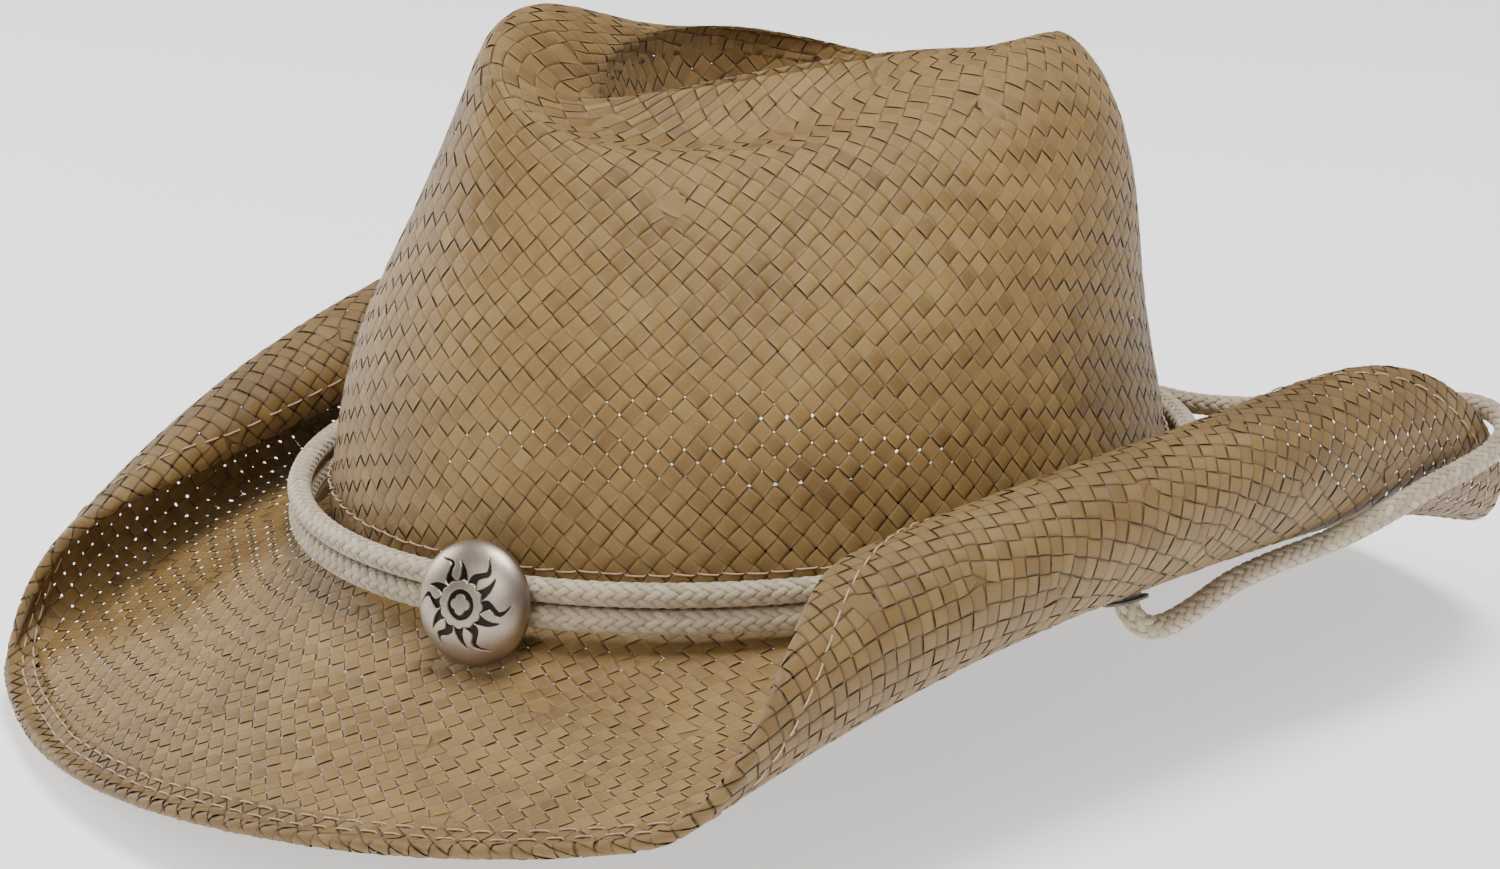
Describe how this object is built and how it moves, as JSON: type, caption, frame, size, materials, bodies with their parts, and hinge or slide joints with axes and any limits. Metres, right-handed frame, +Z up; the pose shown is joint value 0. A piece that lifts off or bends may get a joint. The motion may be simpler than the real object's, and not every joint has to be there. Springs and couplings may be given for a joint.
{
  "type": "cowboy hat",
  "caption": "Woven straw cowboy hat: pinched teardrop crown, wired brim rolled up at the sides, braided cord band with a domed concho, and a chin cord wrapped round the back of the brim.",
  "frame": {"origin": "centre of the head opening, in the plane where the crown is sewn to the brim", "axes": "+Z up, -Y to the front of the hat, +X to the wearer's left"},
  "size_m": [0.2479, 0.3255, 0.1514],
  "materials": {
    "straw": "woven twisted paper, satin",
    "cotton": "braided cotton cord, matte",
    "cloth": "cotton twill, matte",
    "wire": "drawn wire",
    "pewter": "antiqued pewter plate",
    "dark_metal": "blackened",
    "bead_wood": "dark stain"
  },
  "bodies": {
    "hat": {"crown": "straw", "brim": "straw", "brim_wire": "wire", "sweatband": "cloth", "sweatband_tape": "cloth", "hatband_cord_lower": "cotton", "hatband_cord_upper": "cotton", "hatband_collar": "dark_metal", "eyelet_left": "dark_metal", "eyelet_right": "dark_metal", "eyelet_washer_left": "dark_metal", "eyelet_washer_right": "dark_metal", "chin_cord_left": "cotton", "chin_cord_right": "cotton", "chin_knot_left": "cotton", "chin_knot_right": "cotton", "chin_end_knot_left": "cotton", "chin_end_knot_right": "cotton"},
    "concho": {"concho_dome": "pewter", "concho_loop": "pewter", "concho_rivet": "pewter"},
    "slider": {"chin_slider": "bead_wood"}
  },
  "joints": [
    {"name": "concho_slide", "type": "hinge", "parent": "hat", "child": "concho", "pos_m": [-0.0005, -0.01636, 0.00589], "axis": [0, 0, 1], "range_deg": [-6.5, 6.5]},
    {"name": "slider_slide", "type": "slide", "parent": "hat", "child": "slider", "axis": [1, 0, 0], "range_m": [-0.004, 0.004]}
  ]
}
